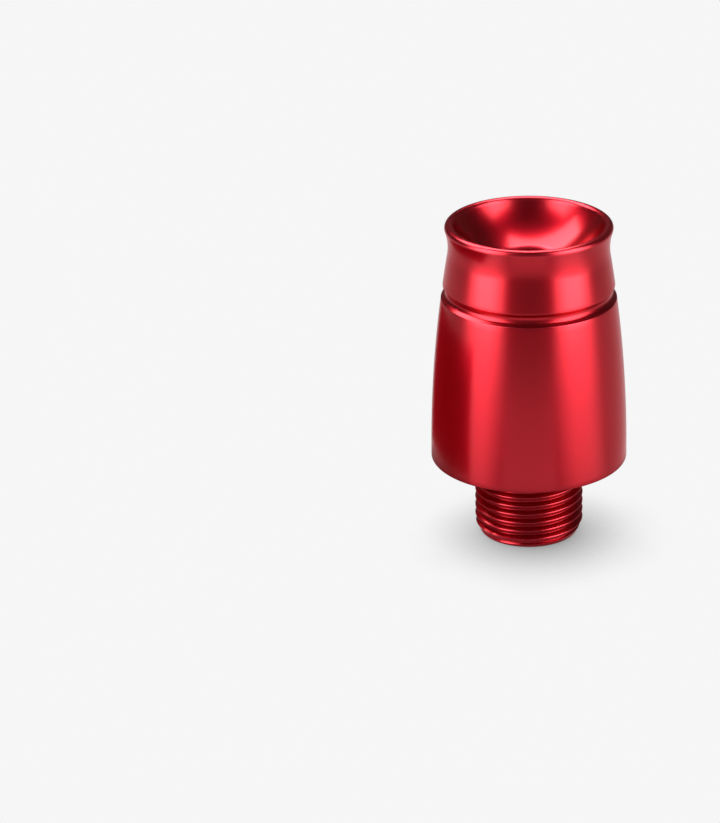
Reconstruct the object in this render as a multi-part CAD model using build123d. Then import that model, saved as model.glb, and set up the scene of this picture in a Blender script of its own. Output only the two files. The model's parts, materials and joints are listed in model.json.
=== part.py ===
from build123d import *
import os
from math import cos, hypot, radians, sin, sqrt, tan

# A bar end weight, turned from one bar of aluminium. Sizes are in millimetres and angles in degrees.
# The seat face, which stops against the end of the handlebar, is at height 0. The threaded stub hangs
# below it, and the weight, its groove and its waisted nose stand above it, all round the Z axis.

# Threaded stub, which screws into the bar, with a plain stretch under the seat face. The thread is a right-hand
# one with 60 degree flanks, rounded crests that stay a little under its nominal diameter, and flat roots.
thread_diameter = 18.0
thread_pitch = 1.5
thread_flank_angle = 30.0
thread_allowance = 0.016
thread_start_angle = 216.0
plain_length = 2.0
stub_length = 13.6
stub_chamfer_length = 1.8
stub_end_undersize = 0.09
stub_end_edge_radius = 0.2

# Weight: its side is one long arc, upright at the seat face
body_diameter = 32.4
body_height = 27.9
side_arc_radius = 210.0
seat_edge_radius = 0.15

# Round-bottomed groove between the weight and its nose
groove_width = 2.15
groove_depth = 0.7
groove_edge_radius = 0.15

# Nose: it goes on along the line of the side, then flares out past that line to a rounded rim
nose_height = 10.45
flare_radius = 9.0
rim_outset = 1.26
rim_edge_radius = 0.75
rim_inner_angle = 20.0

# Dish inside the rim, which steepens towards it and ends below in a soft lip round the socket
dish_depth = 6.25
dish_arc_radius = 16.0
lip_diameter = 11.7
lip_edge_radius = 1.5

# Hex socket for the key, in a drilled hole that is a little narrower, with a countersunk mouth
countersink_angle = 90.0
socket_across_flats = 8.0
socket_depth = 9.0
pilot_undersize = 0.2
pilot_depth = 11.5
drill_point_angle = 118.0

# Radii, levels and centres that follow from these sizes
thread_radius = thread_diameter / 2
sharp_thread_height = thread_pitch / 2 / tan(radians(thread_flank_angle))
sharp_crest_radius = thread_radius + sharp_thread_height / 8
root_radius = thread_radius - sharp_thread_height * 5 / 8
inner_radius = root_radius - sharp_thread_height / 8
crest_radius = thread_radius - thread_allowance
stub_end_radius = root_radius - stub_end_undersize
pilot_radius = (socket_across_flats - pilot_undersize) / 2
groove_top = body_height + groove_width
rim_top = groove_top + nose_height
lip_level = rim_top - dish_depth
socket_floor = lip_level - socket_depth
pilot_floor = lip_level - pilot_depth
side_centre = (body_diameter / 2 - side_arc_radius, 0.0)


def between(start, end, share):
    """The point at a share of the way from one point to another."""
    return start[0] + (end[0] - start[0]) * share, start[1] + (end[1] - start[1]) * share


def on_side(height):
    """The point at a height on the line of the weight's side."""
    return side_centre[0] + sqrt(side_arc_radius**2 - height**2), height


def rim_centre():
    """The centre of the rim's round, which stands out past the line of the side."""
    height = rim_top - rim_edge_radius
    return on_side(height)[0] + rim_outset - rim_edge_radius, height


def on_rim(angle):
    """The point of the rim's round at an angle up from the outward direction."""
    across, height = rim_centre()
    turn = radians(angle)
    return across + rim_edge_radius * cos(turn), height + rim_edge_radius * sin(turn)


def flare_centre():
    """The centre of the flare's arc, which touches the arc of the side and the round of the rim."""
    rim = rim_centre()
    to_side = side_arc_radius + flare_radius
    to_rim = rim_edge_radius + flare_radius
    across = rim[0] - side_centre[0]
    up = rim[1] - side_centre[1]
    apart = hypot(across, up)
    along = (to_side**2 - to_rim**2 + apart**2) / (2 * apart)
    aside = sqrt(to_side**2 - along**2)
    return (
        side_centre[0] + (along * across + aside * up) / apart,
        side_centre[1] + (along * up - aside * across) / apart,
    )


def arc_by_radius(start, end, radius):
    """An arc of a given radius, which bulges to the right of the way from start to end."""
    across = end[0] - start[0]
    up = end[1] - start[1]
    chord = hypot(across, up)
    bulge = radius - sqrt(radius**2 - (chord / 2) ** 2)
    middle = between(start, end, 0.5)
    crown = (middle[0] + bulge * up / chord, middle[1] - bulge * across / chord)
    return ThreePointArc(start, crown, end)


def stub_edges(end_corner, seat_edge):
    """The stub's end, its chamfer and its side, then the seat face."""
    chamfer_top = (thread_radius, stub_chamfer_length - stub_length)
    return Polyline((0, -stub_length), end_corner, chamfer_top, (thread_radius, 0), seat_edge).edges()


def weight_edges(seat_edge, groove_foot, groove_head):
    """The long arc of the side and the round bottom of the groove."""
    mouth = between(groove_foot, groove_head, 0.5)
    return [
        ThreePointArc(seat_edge, on_side(body_height / 2), groove_foot),
        ThreePointArc(groove_foot, (mouth[0] - groove_depth, mouth[1]), groove_head),
    ]


def nose_edges(groove_head, rim_inner):
    """The rest of the side's arc above the groove, the flare and the round of the rim."""
    flare = flare_centre()
    flare_foot = between(side_centre, flare, side_arc_radius / (side_arc_radius + flare_radius))
    flare_head = between(rim_centre(), flare, rim_edge_radius / (rim_edge_radius + flare_radius))
    return [
        ThreePointArc(groove_head, on_side((groove_top + flare_foot[1]) / 2), flare_foot),
        arc_by_radius(flare_head, flare_foot, flare_radius),
        ThreePointArc(flare_head, on_rim(60), rim_inner),
    ]


def dish_edges(rim_inner, lip):
    """The dish, the countersink and the drilled hole with its pointed floor, then the axis."""
    countersink_foot = lip_level - (lip[0] - pilot_radius) / tan(radians(countersink_angle / 2))
    drill_point = pilot_floor - pilot_radius / tan(radians(drill_point_angle / 2))
    bore = Polyline(
        lip,
        (pilot_radius, countersink_foot),
        (pilot_radius, pilot_floor),
        (0, drill_point),
        (0, -stub_length),
    )
    return [arc_by_radius(lip, rim_inner, dish_arc_radius), *bore.edges()]


def corner_at(face, point):
    """The corner of a flat face that is nearest to a point."""
    return min(face.vertices(), key=lambda corner: hypot(corner.X - point[0], corner.Y - point[1]))


def half_section():
    """The half section of the turned piece, right of its axis, with its edges rounded."""
    stub_end = (stub_end_radius, -stub_length)
    seat_edge = on_side(0)
    groove_foot = on_side(body_height)
    groove_head = on_side(groove_top)
    rim_inner = on_rim(180 - rim_inner_angle)
    lip = (lip_diameter / 2, lip_level)
    stub = stub_edges(stub_end, seat_edge)
    weight = weight_edges(seat_edge, groove_foot, groove_head)
    nose = nose_edges(groove_head, rim_inner)
    face = make_face([*stub, *weight, *nose, *dish_edges(rim_inner, lip)])
    roundings = {
        stub_end: stub_end_edge_radius,
        seat_edge: seat_edge_radius,
        groove_foot: groove_edge_radius,
        groove_head: groove_edge_radius,
        lip: lip_edge_radius,
    }
    for corner, radius in roundings.items():
        face = fillet(corner_at(face, corner), radius)
    return face


def ridge_section():
    """The section of the thread's ridge: its flanks, from inside the root, and its rounded crest."""
    crest_rounding = sharp_crest_radius - crest_radius
    shoulder = crest_radius - crest_rounding / 2
    half_foot = (sharp_crest_radius - inner_radius) * tan(radians(thread_flank_angle))
    half_shoulder = (sharp_crest_radius - shoulder) * tan(radians(thread_flank_angle))
    crest = ThreePointArc((shoulder, half_shoulder), (crest_radius, 0), (shoulder, -half_shoulder))
    sides = Polyline(
        (shoulder, -half_shoulder),
        (inner_radius, -half_foot),
        (inner_radius, half_foot),
        (shoulder, half_shoulder),
    )
    return make_face([crest, *sides.edges()])


def threaded_core():
    """The stub at its thread's roots, with the ridge wound round it, from below its end up to its plain stretch."""
    start = -stub_length - 2 * thread_pitch
    rise = -plain_length + thread_pitch / 2 - start
    ridge = sweep(Plane.XZ * ridge_section(), path=Helix(thread_pitch, rise, root_radius), is_frenet=True)
    core = Cylinder(root_radius, -start, align=(Align.CENTER, Align.CENTER, Align.MIN))
    return Pos(0, 0, start) * Rot(0, 0, thread_start_angle) * (core + ridge)


def thread_waste():
    """What the thread takes off the stub: a sleeve, sloped at its upper end, less the threaded core."""
    slack = thread_pitch / 2
    bottom = -stub_length - slack
    outside = thread_radius + slack
    sleeve = Polyline(
        (inner_radius, bottom),
        (outside, bottom),
        (outside, -plain_length + slack),
        (inner_radius, -plain_length - (thread_radius - inner_radius)),
        close=True,
    )
    return revolve(Plane.XZ * make_face(sleeve), Axis.Z) - threaded_core()


def key_hexagon():
    """The hexagonal prism that the key's socket is cut with, from its floor to the top of the rim."""
    outline = RegularPolygon(socket_across_flats / 2, 6, major_radius=False)
    return extrude(Pos(0, 0, socket_floor) * outline, rim_top - socket_floor)


def bar_end_weight():
    """The whole piece: the half section turned round the axis, with the thread and the socket cut into it."""
    turned = revolve(Plane.XZ * half_section(), Axis.Z)
    return turned - thread_waste() - key_hexagon()


os.makedirs("parts", exist_ok=True)
export_step(bar_end_weight(), "parts/bar_end_weight.step")
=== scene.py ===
import json
from math import asin, atan2, ceil, cos, degrees, floor, hypot, pi, radians, sin, sqrt, tan

import bmesh
import bpy
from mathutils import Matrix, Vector


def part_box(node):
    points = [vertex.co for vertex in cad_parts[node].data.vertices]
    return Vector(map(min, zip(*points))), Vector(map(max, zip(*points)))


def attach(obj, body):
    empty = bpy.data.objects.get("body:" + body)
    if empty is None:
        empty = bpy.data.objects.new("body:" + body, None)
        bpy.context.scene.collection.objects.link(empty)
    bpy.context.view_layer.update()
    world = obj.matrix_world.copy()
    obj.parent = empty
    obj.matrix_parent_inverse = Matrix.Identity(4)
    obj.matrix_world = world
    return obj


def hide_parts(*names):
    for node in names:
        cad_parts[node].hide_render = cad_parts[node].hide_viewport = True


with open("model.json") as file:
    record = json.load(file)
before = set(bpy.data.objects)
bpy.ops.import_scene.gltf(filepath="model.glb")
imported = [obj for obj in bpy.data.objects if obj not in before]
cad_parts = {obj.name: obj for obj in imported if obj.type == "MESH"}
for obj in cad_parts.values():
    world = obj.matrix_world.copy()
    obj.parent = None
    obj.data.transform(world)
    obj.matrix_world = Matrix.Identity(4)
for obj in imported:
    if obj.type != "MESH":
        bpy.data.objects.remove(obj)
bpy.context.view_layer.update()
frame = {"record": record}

# A turned bar end weight in red anodised aluminium, standing on the end of its threaded stub. Lengths are in
# metres, written as a number of millimetres, and angles are in degrees. The seat face is at height 0 and Z is
# the turning axis.
MM = 0.001

# Sizes that the frame gives
low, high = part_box("bar_end_weight")
mounts = {mount["name"]: mount for mount in frame["record"]["mounts"]}
body_radius = high.x
rim_top = high.z
stub_bottom = low.z
thread_radius = mounts["thread_stub"]["dims"]["r_mm"] * MM
plain_length = mounts["thread_stub"]["dims"]["length_mm"] * MM
lip_level = mounts["hex_drive"]["pos_m"][2]

# Sizes of the thread, a right-hand one with rounded crests and flat roots
thread_pitch = 1.5 * MM
thread_flank_angle = 30.0
thread_allowance = 0.016 * MM
thread_start_angle = 216.0
thread_root_softness = 0.06 * MM
thread_wear_depth = 0.12 * MM
sharp_thread_height = thread_pitch / 2 / tan(radians(thread_flank_angle))
sharp_crest_radius = thread_radius + sharp_thread_height / 8
root_radius = thread_radius - sharp_thread_height * 5 / 8
crest_radius = thread_radius - thread_allowance
crest_rounding = sharp_crest_radius - crest_radius
crest_height = stub_bottom - thread_pitch * (2 + thread_start_angle / 360)

# Sizes of the turned section
stub_chamfer_length = 1.8 * MM
stub_end_undersize = 0.09 * MM
chamfer_top = stub_bottom + stub_chamfer_length
stub_end_radius = root_radius - stub_end_undersize
stub_end_rounding = 0.2 * MM
side_arc_radius = 210.0 * MM
body_height = 27.9 * MM
seat_edge_rounding = 0.15 * MM
groove_width = 2.15 * MM
groove_depth = 0.7 * MM
groove_wall_angle = 45.0
groove_edge_rounding = 0.15 * MM
flare_radius = 9.0 * MM
rim_outset = 1.26 * MM
rim_rounding = 0.75 * MM
rim_inner_angle = 20.0
dish_arc_radius = 16.0 * MM
lip_radius = 5.85 * MM
lip_rounding = 2.9 * MM

# Sizes of the key's socket
countersink_angle = 90.0
socket_apothem = 4.0 * MM
socket_depth = 9.0 * MM
socket_edge_rounding = 0.08 * MM
pilot_radius = 3.9 * MM
pilot_depth = 11.5 * MM
drill_point_angle = 118.0

# Number of columns round the axis, radius of the small fan in the middle of the stub's flat end, how near
# points are joined, and the angle from which an edge is sharp
columns = 180
fan_radius = 0.6 * MM
weld_distance = 0.0005 * MM
sharp_edge_angle = 28.0

# Places of the rows of one turn of thread, as shares of its pitch from a crest
thread_half_rows = (0.035, 0.07, 0.103, 0.24, 0.352, 0.364, 0.375, 0.387, 0.398)
thread_rows = (-0.5, *(-share for share in reversed(thread_half_rows)), 0.0, *thread_half_rows)


def between(start, end, share):
    """The point at a share of the way from one point to another."""
    return start[0] + (end[0] - start[0]) * share, start[1] + (end[1] - start[1]) * share


def distance(start, end):
    """How far apart two points of the section are."""
    return hypot(end[0] - start[0], end[1] - start[1])


def line(start, end, steps):
    """Points along a straight line of the section."""
    return [between(start, end, step / steps) for step in range(steps + 1)]


def arc(centre, radius, start_angle, end_angle, steps):
    """Points along an arc of the section, between two angles up from the outward direction."""
    turns = [radians(start_angle + (end_angle - start_angle) * step / steps) for step in range(steps + 1)]
    return [(centre[0] + radius * cos(turn), centre[1] + radius * sin(turn)) for turn in turns]


def arc_by_radius(start, end, radius, steps):
    """Points along an arc of a given radius that bulges to the right of the way from start to end."""
    chord = distance(start, end)
    inward = sqrt(radius**2 - (chord / 2) ** 2)
    middle = between(start, end, 0.5)
    centre = (
        middle[0] - inward * (end[1] - start[1]) / chord,
        middle[1] + inward * (end[0] - start[0]) / chord,
    )
    first = degrees(atan2(start[1] - centre[1], start[0] - centre[0]))
    return arc(centre, radius, first, first + 2 * degrees(asin(chord / 2 / radius)), steps)


def cut_back(points, reach):
    """A stretch of the section, shortened at its end by a length."""
    points = list(points)
    while len(points) > 2 and distance(points[-1], points[-2]) <= reach:
        reach -= distance(points[-1], points[-2])
        points.pop()
    points[-1] = between(points[-1], points[-2], reach / distance(points[-1], points[-2]))
    return points


def rounded(before, after, radius, steps=4):
    """Rounds the corner between two stretches. Returns them shortened, and the points between them."""
    corner = before[-1]
    inward = atan2(corner[1] - before[-2][1], corner[0] - before[-2][0])
    outward = atan2(after[1][1] - corner[1], after[1][0] - corner[0])
    turn = abs((outward - inward + pi) % (2 * pi) - pi)
    before = cut_back(before, radius * tan(turn / 2))
    after = cut_back(after[::-1], radius * tan(turn / 2))[::-1]
    shares = [step / steps for step in range(1, steps)]
    bend = [between(between(before[-1], corner, s), between(corner, after[0], s), s) for s in shares]
    return before, after, bend


def on_side(height):
    """The point at a height on the line of the weight's side."""
    return body_radius - side_arc_radius + sqrt(side_arc_radius**2 - height**2), height


def side_stretch(start_height, end_height, steps):
    """Points up the line of the side, between two heights."""
    rise = end_height - start_height
    return [on_side(start_height + rise * step / steps) for step in range(steps + 1)]


def flare_and_rim():
    """The flare's arc, which touches the line of the side and the rim's round, and then that round."""
    rim_height = rim_top - rim_rounding
    rim_centre = (on_side(rim_height)[0] + rim_outset - rim_rounding, rim_height)
    side_centre = (body_radius - side_arc_radius, 0.0)
    to_side = side_arc_radius + flare_radius
    to_rim = rim_rounding + flare_radius
    across = rim_centre[0] - side_centre[0]
    up = rim_centre[1] - side_centre[1]
    apart = hypot(across, up)
    along = (to_side**2 - to_rim**2 + apart**2) / (2 * apart)
    aside = sqrt(to_side**2 - along**2)
    centre = (
        side_centre[0] + (along * across + aside * up) / apart,
        side_centre[1] + (along * up - aside * across) / apart,
    )
    foot = between(side_centre, centre, side_arc_radius / to_side)
    head = between(rim_centre, centre, rim_rounding / to_rim)
    flare = arc_by_radius(head, foot, flare_radius, 20)[::-1]
    first = degrees(atan2(head[1] - rim_centre[1], head[0] - rim_centre[0]))
    return flare, arc(rim_centre, rim_rounding, first, 180 - rim_inner_angle, 20)


def groove_section(foot, head):
    """The groove's lower wall, round bottom and upper wall, from its foot up to its head."""
    half_width = distance(foot, head) / 2
    turn = radians(groove_wall_angle)
    radius = (half_width * tan(turn) - groove_depth) / (1 / cos(turn) - 1)
    middle = between(foot, head, 0.5)
    up = ((head[0] - foot[0]) / half_width / 2, (head[1] - foot[1]) / half_width / 2)
    bottom = []
    for step in range(17):
        angle = turn * (step / 8 - 1)
        along = radius * sin(angle)
        inward = groove_depth - radius * (1 - cos(angle))
        across = along * up[0] - inward * up[1]
        height = along * up[1] + inward * up[0]
        bottom.append((middle[0] + across, middle[1] + height))
    return line(foot, bottom[0], 4) + bottom[1:-1] + line(bottom[-1], head, 4)


def turned_rows():
    """The section from the stub's plain stretch up the outside, over the rim and down the dish to the lip.

    Each row is (radius, height, how much of an edge it is)."""
    groove_foot = on_side(body_height)
    groove_head = on_side(body_height + groove_width)
    flare, rim = flare_and_rim()
    lip = (lip_radius, lip_level)
    plain = line((thread_radius, -plain_length), (thread_radius, 0.0), 4)
    seat = line((thread_radius, 0.0), (body_radius, 0.0), 8)
    side = side_stretch(0.0, body_height, 28)
    groove = groove_section(groove_foot, groove_head)
    nose = side_stretch(body_height + groove_width, flare[0][1], 8)
    dish = arc_by_radius(lip, rim[-1], dish_arc_radius, 26)[::-1]
    countersink = line(lip, (pilot_radius, lip_level - (lip_radius - pilot_radius)), 10)

    seat, side, seat_edge = rounded(seat, side, seat_edge_rounding)
    side, groove, low_edge = rounded(side, groove, groove_edge_rounding)
    groove, nose, high_edge = rounded(groove, nose, groove_edge_rounding)
    dish, countersink, lip_edge = rounded(dish, countersink, lip_rounding, 12)
    stretches = (
        (plain, 0.0),
        (seat[1:], 0.0),
        (seat_edge, 1.0),
        (side, 0.0),
        (low_edge, 1.0),
        (groove, 0.0),
        (high_edge, 1.0),
        (nose, 0.0),
        (flare[1:], 0.0),
        (rim[1:], 0.4),
        (dish[1:], 0.0),
        (lip_edge, 0.5),
        (countersink[:1], 0.3),
    )
    return [(radius, height, edge) for points, edge in stretches for radius, height in points]


def hexagon_radius(turn):
    """How far the hexagon is from the axis in a direction. Two of its corners are over the X axis."""
    off_middle = turn % (pi / 3) - pi / 6
    return socket_apothem / cos(off_middle)


def socket_rows(turn, mouth):
    """The rows below the lip in one direction: countersink, hexagon, its floor and the drilled hole."""
    radius = hexagon_radius(turn)
    wall_top = mouth[1] - (mouth[0] - radius) / tan(radians(countersink_angle / 2))
    floor_level = lip_level - socket_depth
    pilot_floor = lip_level - pilot_depth
    point = (0.0, pilot_floor - pilot_radius / tan(radians(drill_point_angle / 2)))
    countersink = line(mouth, (radius, wall_top), 6)
    wall = line((radius, wall_top), (radius, floor_level), 6)
    countersink, wall, edge = rounded(countersink, wall, socket_edge_rounding, 3)
    ledge = line((radius, floor_level), (pilot_radius, floor_level), 2)
    pilot = line((pilot_radius, floor_level), (pilot_radius, pilot_floor), 2)
    cone = line((pilot_radius, pilot_floor), between((pilot_radius, pilot_floor), point, 0.94), 4)
    rows = [(*p, 0.0) for p in countersink[1:]] + [(*p, 0.6) for p in edge]
    return rows + [(*p, 0.0) for p in wall + ledge[1:] + pilot[1:] + cone[1:]]


def chamfer_foot():
    """Where the chamfer of the stub's end runs into the rounding of its edge."""
    run = (thread_radius - stub_end_radius, chamfer_top - stub_bottom)
    reach = stub_end_rounding * tan(atan2(run[1], run[0]) / 2)
    return between((stub_end_radius, stub_bottom), (thread_radius, chamfer_top), reach / hypot(*run))


def stub_end_rows():
    """The rows from the axis out over the stub's flat end and round its edge, to the foot of the chamfer."""
    end = line((fan_radius, stub_bottom), (stub_end_radius, stub_bottom), 5)
    chamfer = line((stub_end_radius, stub_bottom), (thread_radius, chamfer_top), 8)
    end, chamfer, edge = rounded(end, chamfer, stub_end_rounding)
    return [(*p, 0.0) for p in end] + [(*p, 1.0) for p in edge] + [(*chamfer[0], 1.0)]


def eased(value, softness):
    """A value kept from falling below 0, with a soft bend there."""
    if value >= softness:
        return value
    return max(value + softness, 0.0) ** 2 / (4 * softness)


def threaded_radius(along, height):
    """The thread's radius at a distance along the axis from a crest, and at a height."""
    off_crest = abs((along / thread_pitch + 0.5) % 1.0 - 0.5) * thread_pitch
    if off_crest < crest_rounding * cos(radians(thread_flank_angle)):
        ridge = crest_radius - crest_rounding + sqrt(crest_rounding**2 - off_crest**2)
    else:
        ridge = sharp_crest_radius - off_crest / tan(radians(thread_flank_angle))
    ridge = root_radius + eased(ridge - root_radius, thread_root_softness)
    slope = thread_radius + plain_length + height
    return min(max(ridge, slope), chamfer_limit(height))


def chamfer_limit(height):
    """The largest radius that the end chamfer leaves the stub at a height."""
    share = (height - stub_bottom) / (chamfer_top - stub_bottom)
    return min(stub_end_radius + (thread_radius - stub_end_radius) * share, thread_radius)


class Skin:
    """The closed surface of the piece, made of rings of points round the axis."""

    def __init__(self):
        self.mesh = bmesh.new()
        self.edge = self.mesh.verts.layers.float.new("edge")
        self.run = self.mesh.verts.layers.float.new("run")

    def point(self, turn, radius, height, edge, run):
        """One point of the surface, with its share of edge wear and its place along the section."""
        vertex = self.mesh.verts.new((radius * cos(turn), radius * sin(turn), height))
        vertex[self.edge] = edge
        vertex[self.run] = run
        return vertex

    def column(self, turn, rows, run=0.0):
        """A column of points in one direction, for rows of (radius, height, edge)."""
        made = []
        last = rows[0]
        for row in rows:
            run += hypot(row[0] - last[0], row[1] - last[1])
            made.append(self.point(turn, *row, run))
            last = row
        return made

    def bridge(self, left, right):
        """The strip of faces between two neighbouring columns."""
        for below in range(len(left) - 1):
            self.mesh.faces.new((left[below], right[below], right[below + 1], left[below + 1]))

    def cap(self, ring, height):
        """The small fan of faces that closes a ring at the axis."""
        middle = self.point(0.0, 0.0, height, 0.0, 0.0)
        for place, vertex in enumerate(ring):
            self.mesh.faces.new((vertex, ring[(place + 1) % len(ring)], middle))


def turned_skin(skin):
    """The turned outside, rim, dish and socket, from the stub's root in to the point of the drilled hole."""
    rows = turned_rows()
    turns = [2 * pi * place / columns for place in range(columns)]
    made = [skin.column(turn, rows + socket_rows(turn, rows[-1][:2])) for turn in turns]
    for place in range(columns):
        skin.bridge(made[place], made[(place + 1) % columns])
    point = lip_level - pilot_depth - pilot_radius / tan(radians(drill_point_angle / 2))
    skin.cap([column[-1] for column in made], point)


def stub_end_skin(skin):
    """The flat end of the stub and its rounded edge."""
    rows = stub_end_rows()
    made = [skin.column(2 * pi * place / columns, rows) for place in range(columns)]
    for place in range(columns):
        skin.bridge(made[place], made[(place + 1) % columns])
    skin.cap([column[0] for column in made], stub_bottom)


def thread_skin(skin):
    """The threaded side of the stub. Its rows climb by one pitch in a turn, so crests are unbroken edges."""
    foot = chamfer_foot()[1]
    first = floor((foot - crest_height) / thread_pitch) - 1
    last = ceil((-plain_length - crest_height) / thread_pitch) + 1
    steps = [(turn + share) * thread_pitch for turn in range(first, last) for share in thread_rows]
    made = []
    for place in range(columns):
        crest = crest_height + thread_pitch * place / columns
        column = []
        for step in steps:
            height = min(max(crest + step, foot), -plain_length)
            radius = threaded_radius(height - crest, height)
            wear = max(1.0 - (crest_radius - radius) / thread_wear_depth, 0.0)
            column.append(skin.point(2 * pi * place / columns, radius, height, wear, step))
        made.append(column)
    per_turn = len(thread_rows)
    for place in range(columns - 1):
        skin.bridge(made[place], made[place + 1])
    skin.bridge(made[-1][:-per_turn], made[0][per_turn:])


def weight_piece():
    """The whole piece as one closed mesh, smooth but for its sharp edges."""
    skin = Skin()
    turned_skin(skin)
    stub_end_skin(skin)
    thread_skin(skin)
    mesh = skin.mesh
    bmesh.ops.remove_doubles(mesh, verts=mesh.verts, dist=weld_distance)
    bmesh.ops.dissolve_degenerate(mesh, edges=mesh.edges, dist=weld_distance)
    bmesh.ops.recalc_face_normals(mesh, faces=mesh.faces)
    for face in mesh.faces:
        face.smooth = True
    for edge in mesh.edges:
        edge.smooth = edge.is_manifold and edge.calc_face_angle() < radians(sharp_edge_angle)
    data = bpy.data.meshes.new("turned_weight")
    mesh.to_mesh(data)
    mesh.free()
    piece = bpy.data.objects.new("turned_weight", data)
    bpy.context.scene.collection.objects.link(piece)
    return piece


def nodes_of(tree):
    """Empties a node tree and returns functions that add a node to it and join two sockets."""
    tree.nodes.clear()

    def add(kind, **settings):
        node = tree.nodes.new(kind)
        for name, value in settings.items():
            setattr(node, name, value)
        return node

    return add, tree.links.new


def anodised_red():
    """Deep red anodised aluminium with the fine lines of turning, worn a little paler on its edges."""
    material = bpy.data.materials.new("red_anodised")
    material.use_nodes = True
    add, join = nodes_of(material.node_tree)
    output = add("ShaderNodeOutputMaterial")
    metal = add("ShaderNodeBsdfPrincipled")
    metal.inputs["Metallic"].default_value = 1.0
    metal.inputs["Anisotropic"].default_value = 0.3
    metal.inputs["Anisotropic Rotation"].default_value = 0.25
    metal.inputs["Specular Tint"].default_value = (1.0, 0.5, 0.52, 1.0)
    metal.inputs["Coat Weight"].default_value = 0.4
    metal.inputs["Coat Roughness"].default_value = 0.19
    join(metal.outputs["BSDF"], output.inputs["Surface"])

    tangent = add("ShaderNodeTangent", direction_type="RADIAL", axis="Z")
    join(tangent.outputs["Tangent"], metal.inputs["Tangent"])

    # Lines of turning: noise along the section alone
    run = add("ShaderNodeAttribute", attribute_name="run")
    lines = add("ShaderNodeTexNoise", noise_dimensions="1D")
    lines.inputs["Scale"].default_value = 2.5 / MM
    lines.inputs["Detail"].default_value = 1.0
    join(run.outputs["Fac"], lines.inputs["W"])
    bump = add("ShaderNodeBump")
    bump.inputs["Strength"].default_value = 0.12
    bump.inputs["Distance"].default_value = 0.01 * MM
    join(lines.outputs["Fac"], bump.inputs["Height"])
    join(bump.outputs["Normal"], metal.inputs["Normal"])

    # Slight clouding of the dye, and of the gloss
    place = add("ShaderNodeTexCoord")
    clouds = add("ShaderNodeTexNoise")
    clouds.inputs["Scale"].default_value = 0.12 / MM
    clouds.inputs["Detail"].default_value = 4.0
    join(place.outputs["Object"], clouds.inputs["Vector"])
    dye = add("ShaderNodeMix", data_type="RGBA")
    dye.inputs["A"].default_value = (0.345, 0.001, 0.008, 1.0)
    dye.inputs["B"].default_value = (0.385, 0.002, 0.01, 1.0)
    join(clouds.outputs["Fac"], dye.inputs["Factor"])
    gloss = add("ShaderNodeMapRange")
    gloss.inputs["To Min"].default_value = 0.27
    gloss.inputs["To Max"].default_value = 0.31
    join(clouds.outputs["Fac"], gloss.inputs["Value"])
    join(gloss.outputs["Result"], metal.inputs["Roughness"])

    # Edges where the dye is thinner
    edge = add("ShaderNodeAttribute", attribute_name="edge")
    specks = add("ShaderNodeTexNoise")
    specks.inputs["Scale"].default_value = 1.2 / MM
    join(place.outputs["Object"], specks.inputs["Vector"])
    wear = add("ShaderNodeMath", operation="MULTIPLY")
    join(edge.outputs["Fac"], wear.inputs[0])
    join(specks.outputs["Fac"], wear.inputs[1])
    worn = add("ShaderNodeMix", data_type="RGBA")
    worn.inputs["B"].default_value = (0.52, 0.03, 0.05, 1.0)
    join(wear.outputs["Value"], worn.inputs["Factor"])
    join(dye.outputs["Result"], worn.inputs["A"])
    join(worn.outputs["Result"], metal.inputs["Base Color"])
    return material


# Colours of the studio cards
card_colours = {"white_glow": (1.0, 1.0, 1.0, 1.0), "red_glow": (1.0, 0.03, 0.08, 1.0)}


def card_glow(colour):
    """The glow of the studio cards of one colour, as strong as each point of a card says."""
    material = bpy.data.materials.new(colour)
    material.cycles.emission_sampling = "NONE"
    material.use_nodes = True
    add, join = nodes_of(material.node_tree)
    output = add("ShaderNodeOutputMaterial")
    emission = add("ShaderNodeEmission")
    emission.inputs["Color"].default_value = card_colours[colour]
    strength = add("ShaderNodeAttribute", attribute_name="glow")
    join(strength.outputs["Fac"], emission.inputs["Strength"])
    join(emission.outputs["Emission"], output.inputs["Surface"])
    return material


def card(name, azimuths, edges, fade=0.0, faded=1.0, colour="white_glow"):
    """A curved studio card round the object, between two edges given as (reach, height, strength of glow).

    Azimuths are from the camera's side, positive to the right, and heights are above the seat face. Over the
    angle of its fade, the glow falls towards each side of the card, to the faded share of its strength."""
    steps = 32
    points = []
    glows = []
    for step in range(steps + 1):
        azimuth = azimuths[0] + (azimuths[1] - azimuths[0]) * step / steps
        inside = min(azimuth - azimuths[0], azimuths[1] - azimuth)
        share = faded + (1 - faded) * min(inside / fade, 1.0) if fade else 1.0
        for reach, height, strength in edges:
            points.append((reach * sin(radians(azimuth)), -reach * cos(radians(azimuth)), height))
            glows.append(strength * share)
    faces = [(2 * step, 2 * step + 2, 2 * step + 3, 2 * step + 1) for step in range(steps)]
    studio_card(name, points, glows, faces, colour)


def flat_card(name, strength, centre, width, depth):
    """A level studio card over the object."""
    x, y, z = centre
    points = [(x + a * width / 2, y + b * depth / 2, z) for a, b in ((-1, -1), (1, -1), (1, 1), (-1, 1))]
    studio_card(name, points, [strength] * 4, [(0, 1, 2, 3)], "white_glow")


def studio_card(name, points, glows, faces, colour):
    """A studio card from its points, their glows, its faces and its colour. Only reflections show it."""
    data = bpy.data.meshes.new(name)
    data.from_pydata(points, [], faces)
    data.attributes.new("glow", "FLOAT", "POINT").data.foreach_set("value", glows)
    data.materials.append(bpy.data.materials.get(colour) or card_glow(colour))
    made = bpy.data.objects.new(name, data)
    bpy.context.scene.collection.objects.link(made)
    made.visible_camera = False
    made.visible_diffuse = False
    made.visible_transmission = False
    made.visible_volume_scatter = False
    made.visible_shadow = False


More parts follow.
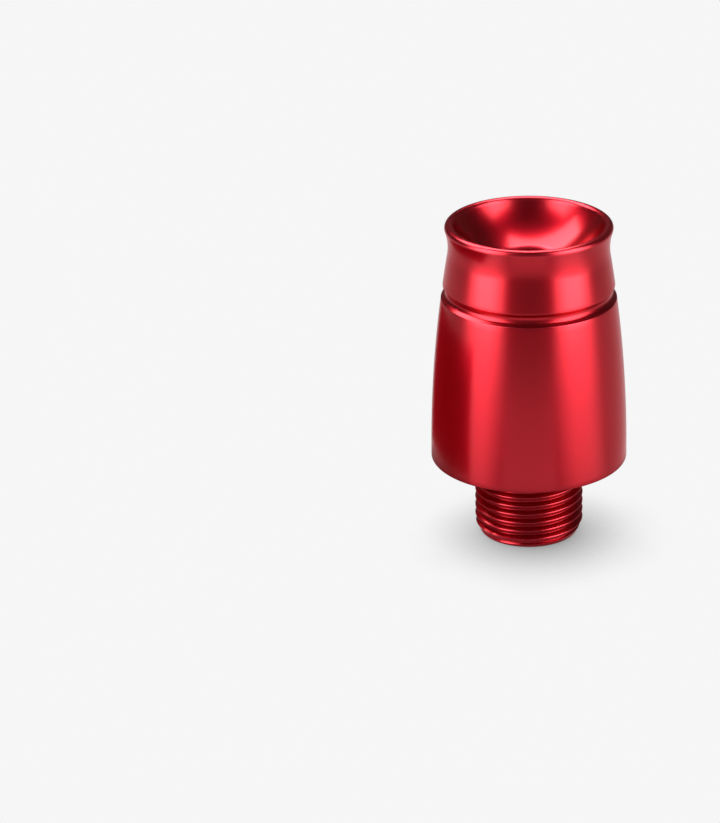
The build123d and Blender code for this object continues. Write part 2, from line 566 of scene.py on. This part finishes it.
# The tone of the plain background, how dark the floor's shadow gets, how far it reaches, the openness where
# it ends, and the way to the middle of the light that it shuts out
background_tone = 0.921
shadow_depth = 0.85
shadow_reach = 21.5 * MM
shadow_end = 0.78
shadow_light = Vector((-0.15, 0.32, 1.0)).normalized()


def room_world():
    """A plain pale room of the background's tone."""
    world = bpy.data.worlds.new("room")
    bpy.context.scene.world = world
    world.use_nodes = True
    add, join = nodes_of(world.node_tree)
    output = add("ShaderNodeOutputWorld")
    background = add("ShaderNodeBackground")
    background.inputs["Strength"].default_value = background_tone
    join(background.outputs["Background"], output.inputs["Surface"])


def studio_floor():
    """A plain pale floor of the background's tone, with the soft grey shadow of what stands close over it."""
    size = 6.0
    corners = [(a * size / 2, b * size / 2, stub_bottom) for a, b in ((-1, -1), (1, -1), (1, 1), (-1, 1))]
    data = bpy.data.meshes.new("floor")
    data.from_pydata(corners, [], [(0, 1, 2, 3)])
    made = bpy.data.objects.new("floor", data)
    bpy.context.scene.collection.objects.link(made)
    material = bpy.data.materials.new("floor")
    data.materials.append(material)
    material.use_nodes = True
    add, join = nodes_of(material.node_tree)
    output = add("ShaderNodeOutputMaterial")
    tone = add("ShaderNodeEmission")
    openness = add("ShaderNodeAmbientOcclusion", samples=16)
    openness.inputs["Distance"].default_value = shadow_reach
    light = add("ShaderNodeCombineXYZ")
    for axis in range(3):
        light.inputs[axis].default_value = shadow_light[axis]
    join(light.outputs["Vector"], openness.inputs["Normal"])
    shade = add("ShaderNodeMapRange")
    shade.inputs["From Max"].default_value = shadow_end
    shade.inputs["To Min"].default_value = background_tone * (1 - shadow_depth)
    shade.inputs["To Max"].default_value = background_tone
    join(openness.outputs["AO"], shade.inputs["Value"])
    join(shade.outputs["Result"], tone.inputs["Strength"])
    join(tone.outputs["Emission"], output.inputs["Surface"])


def photo_camera():
    """The photograph's camera: 500 mm away, 23.4 degrees above the level, the object off its middle."""
    width = 720
    height = 823
    focal_pixels = 3055.6
    reach = 500 * MM
    elevation = radians(23.433)
    aim_height = 20 * MM
    aim_column = 528.9
    aim_row = 340.67
    data = bpy.data.cameras.new("camera")
    data.lens = focal_pixels * data.sensor_width / height
    data.shift_x = (width / 2 - aim_column) / height
    data.clip_start = 0.01
    data.clip_end = 20.0
    made = bpy.data.objects.new("camera", data)
    bpy.context.scene.collection.objects.link(made)
    forward = Vector((0.0, cos(elevation), -sin(elevation)))
    up = Vector((0.0, sin(elevation), cos(elevation)))
    above = (height / 2 - aim_row) / focal_pixels * reach
    made.location = Vector((0.0, 0.0, aim_height)) - forward * reach - up * above
    made.rotation_euler = (pi / 2 - elevation, 0.0, 0.0)
    bpy.context.scene.camera = made


piece = weight_piece()
piece.data.materials.append(anodised_red())
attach(piece, "root")
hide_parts("bar_end_weight")

# Height of the cards that stand for the table's brightness, just over the floor
table = stub_bottom + 0.5 * MM
card("left_softbox", (-87.5, -28.5), ((300 * MM, table, 8.0), (300 * MM, 390 * MM, 8.0)), 20, 0.04)
card("right_softbox", (30, 90), ((300 * MM, table, 8.0), (300 * MM, 390 * MM, 8.0)), 20, 0.04)
card("dark_front", (-60, 60), ((310 * MM, table, 0.28), (310 * MM, 600 * MM, 0.02)))
card("dark_back", (92, 270), ((400 * MM, table, 0.12), (400 * MM, 200 * MM, 0.12)))
card("front_table", (-26, 27.5), ((42 * MM, table, 1.05), (310 * MM, table, 0.2)))
card("left_table", (-90, -26), ((42 * MM, table, 1.55), (300 * MM, table, 3.7)), 22, 0.3)
card("right_table", (27.5, 93), ((42 * MM, table, 1.55), (300 * MM, table, 3.7)), 22, 0.3)
card("back_table", (93, 270), ((42 * MM, table, 0.75), (400 * MM, table, 0.75)))
card("near_table", (-60, 220), ((32 * MM, table, 0.3), (42 * MM, table, 1.05)))
card("shaded_table", (-140, -60), ((32 * MM, table, 0.2), (42 * MM, table, 0.35)))
card("stub_shade", (0, 360), ((9.5 * MM, table, 0.2), (32 * MM, table, 0.3)))
card("left_flag", (-140, -60), ((45 * MM, table, 0.38), (45 * MM, 17 * MM, 0.38)), colour="red_glow")
flat_card("top_softbox", 9.0, (-0.21, 0.245, 500 * MM), 0.78, 0.39)
flat_card("ceiling", 0.08, (0.0, 0.0, 620 * MM), 3.0, 3.0)
room_world()
studio_floor()
photo_camera()
bpy.context.scene.view_settings.view_transform = "Standard"
